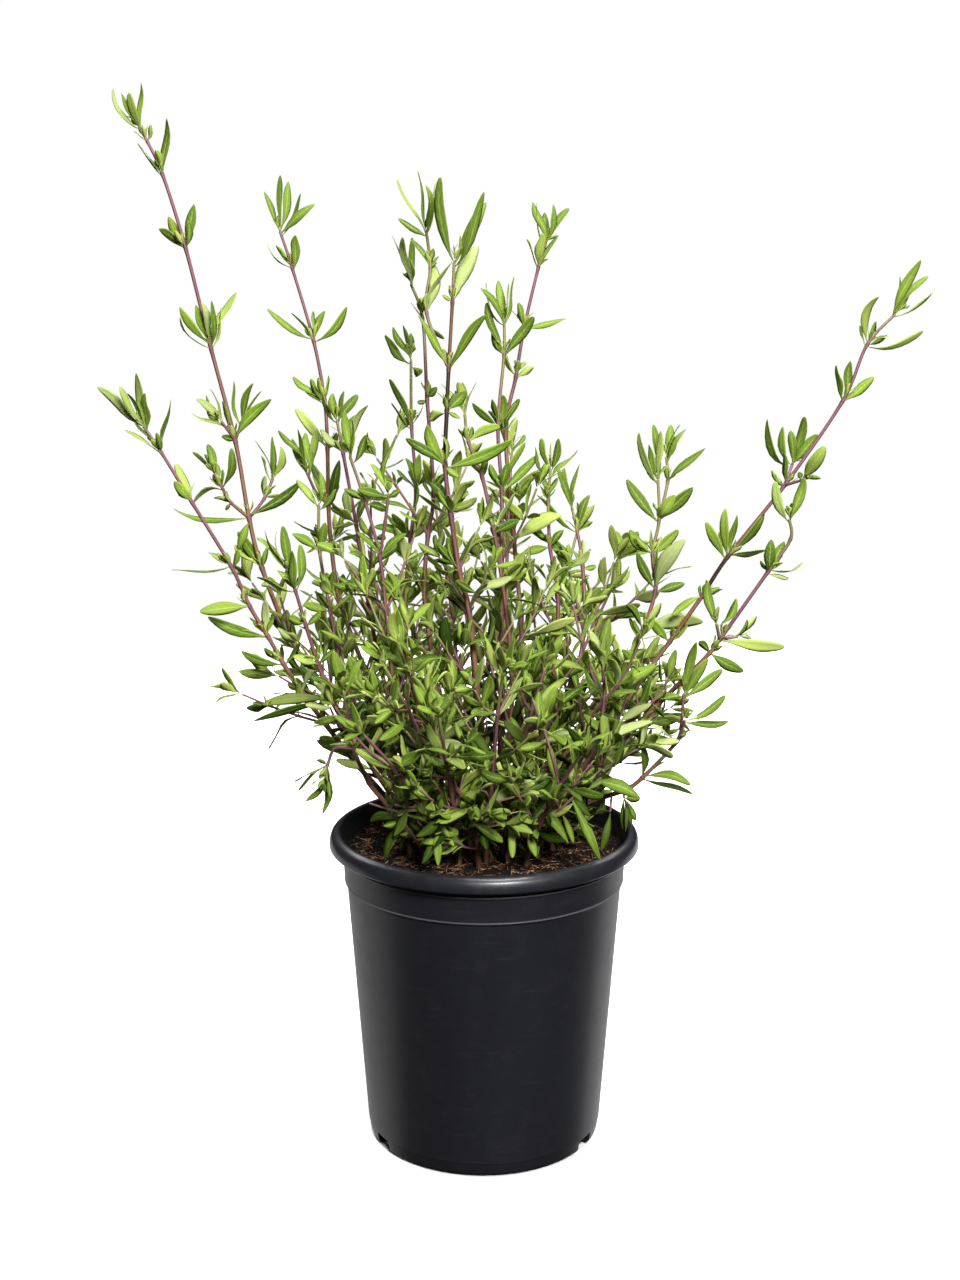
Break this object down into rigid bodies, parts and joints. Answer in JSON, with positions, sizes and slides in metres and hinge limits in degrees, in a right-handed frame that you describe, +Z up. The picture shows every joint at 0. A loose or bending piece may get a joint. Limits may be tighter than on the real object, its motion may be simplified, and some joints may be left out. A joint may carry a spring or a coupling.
{
  "type": "potted sage plant",
  "caption": "Bushy sage with narrow opposite green leaves on slender square stems, growing in soil in a round tapered nursery pot with a rolled rim.",
  "frame": {"origin": "centre of the pot's flat foot, on the surface that it stands on", "axes": "+Z up along the pot's axis; -Y towards the front, from where the plant is seen in its picture; +X to the right"},
  "size_m": [0.4088, 0.2604, 0.5552],
  "materials": {
    "pot_plastic": "satin charcoal-black moulded plastic",
    "potting_soil": "loose dark brown fibrous compost",
    "sage_foliage": "soft green leaves, paler beneath, on mauve to brown square stems"
  },
  "bodies": {
    "root": {"pot": "pot_plastic", "soil": "potting_soil", "stem_west_tall": "sage_foliage", "stem_west_low": "sage_foliage", "stem_north_west": "sage_foliage", "stem_west_inner": "sage_foliage", "stem_west_middle": "sage_foliage", "stem_dark_main": "sage_foliage", "stem_left_outer": "sage_foliage", "stem_left_second": "sage_foliage", "stem_right_second": "sage_foliage", "stem_north": "sage_foliage", "stem_front_slender": "sage_foliage", "stem_right_inner": "sage_foliage", "stem_right_thin": "sage_foliage", "stem_east_upright": "sage_foliage", "stem_east_tall": "sage_foliage", "stem_east_low": "sage_foliage", "stem_east_arch": "sage_foliage", "stem_front_right": "sage_foliage", "stem_east_spray": "sage_foliage", "stem_west_spray": "sage_foliage", "stem_west_second": "sage_foliage", "stem_west_rim": "sage_foliage", "stem_front_left": "sage_foliage", "stem_front_low": "sage_foliage", "stem_bush_01": "sage_foliage", "stem_bush_02": "sage_foliage", "stem_bush_03": "sage_foliage", "stem_bush_04": "sage_foliage", "stem_bush_05": "sage_foliage", "stem_bush_06": "sage_foliage", "stem_bush_07": "sage_foliage", "stem_bush_08": "sage_foliage", "stem_bush_09": "sage_foliage", "stem_bush_10": "sage_foliage", "stem_bush_11": "sage_foliage", "stem_bush_12": "sage_foliage", "stem_bush_13": "sage_foliage", "stem_bush_14": "sage_foliage", "stem_bush_15": "sage_foliage", "stem_bush_16": "sage_foliage", "stem_bush_17": "sage_foliage", "stem_bush_18": "sage_foliage"}
  },
  "joints": []
}
